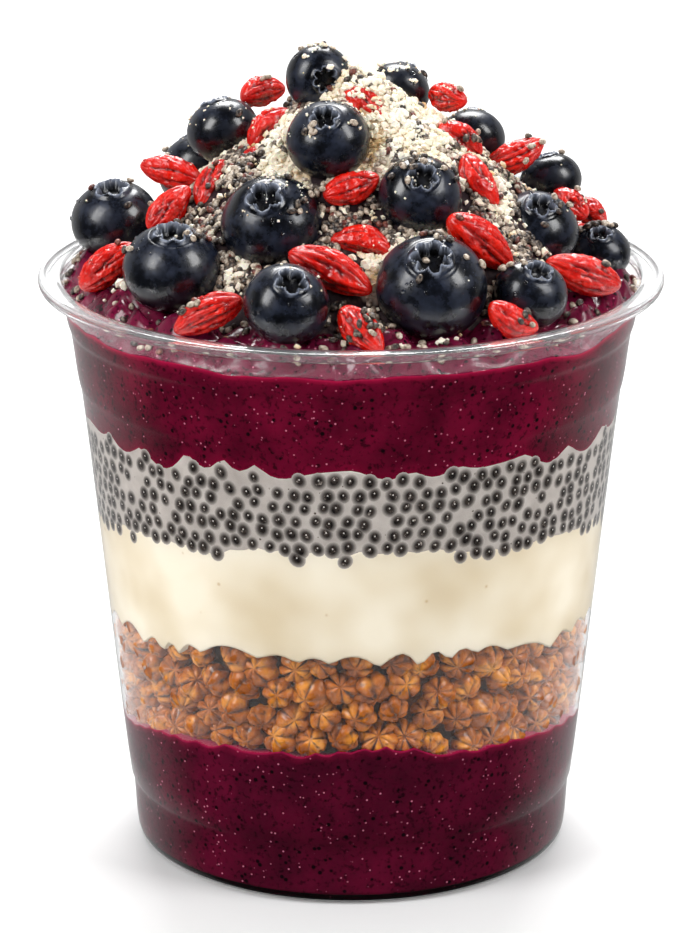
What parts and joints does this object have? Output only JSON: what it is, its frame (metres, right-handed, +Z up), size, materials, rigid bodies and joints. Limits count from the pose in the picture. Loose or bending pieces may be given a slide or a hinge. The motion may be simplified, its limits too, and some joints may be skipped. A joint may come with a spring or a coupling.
{
  "type": "acai bowl",
  "caption": "Clear plastic cup of layered acai, granola, yogurt and chia pudding, heaped with blueberries, goji berries, coconut and seeds.",
  "frame": {"origin": "centre of the cup's base, on the surface it stands on", "axes": "+Z up along the cup's axis; -Y is the front, the side first looked at"},
  "size_m": [0.098, 0.098, 0.128],
  "materials": {
    "clear_plastic": "clear glossy thermoformed plastic",
    "acai": "wet frozen fruit puree, dark burgundy with specks",
    "granola": "glazed toasted clusters",
    "yogurt": "smooth cream",
    "chia_pudding": "grey gel full of dark seeds",
    "coconut_and_seeds": "dry coconut crumb with loose chia seeds",
    "blueberry": "blue-black skin with a pale bloom",
    "goji": "glossy wrinkled red skin"
  },
  "bodies": {
    "root": {"acai_base": "acai", "acai_top": "acai", "blueberry_01": "blueberry", "blueberry_02": "blueberry", "blueberry_03": "blueberry", "blueberry_04": "blueberry", "blueberry_05": "blueberry", "blueberry_06": "blueberry", "blueberry_07": "blueberry", "blueberry_08": "blueberry", "blueberry_09": "blueberry", "blueberry_10": "blueberry", "blueberry_11": "blueberry", "blueberry_12": "blueberry", "blueberry_13": "blueberry", "blueberry_14": "blueberry", "blueberry_15": "blueberry", "blueberry_16": "blueberry", "blueberry_17": "blueberry", "blueberry_18": "blueberry", "blueberry_19": "blueberry", "blueberry_20": "blueberry", "blueberry_21": "blueberry", "blueberry_22": "blueberry", "blueberry_23": "blueberry", "chia_pudding": "chia_pudding", "coconut_heap": "coconut_and_seeds", "cup": "clear_plastic", "goji_01": "goji", "goji_02": "goji", "goji_03": "goji", "goji_04": "goji", "goji_05": "goji", "goji_06": "goji", "goji_07": "goji", "goji_08": "goji", "goji_09": "goji", "goji_10": "goji", "goji_11": "goji", "goji_12": "goji", "goji_13": "goji", "goji_14": "goji", "goji_15": "goji", "goji_16": "goji", "goji_17": "goji", "goji_18": "goji", "goji_19": "goji", "goji_20": "goji", "goji_21": "goji", "goji_22": "goji", "goji_23": "goji", "goji_24": "goji", "goji_25": "goji", "goji_26": "goji", "goji_27": "goji", "goji_28": "goji", "goji_29": "goji", "granola_layer": "granola", "yogurt_layer": "yogurt"}
  },
  "joints": []
}
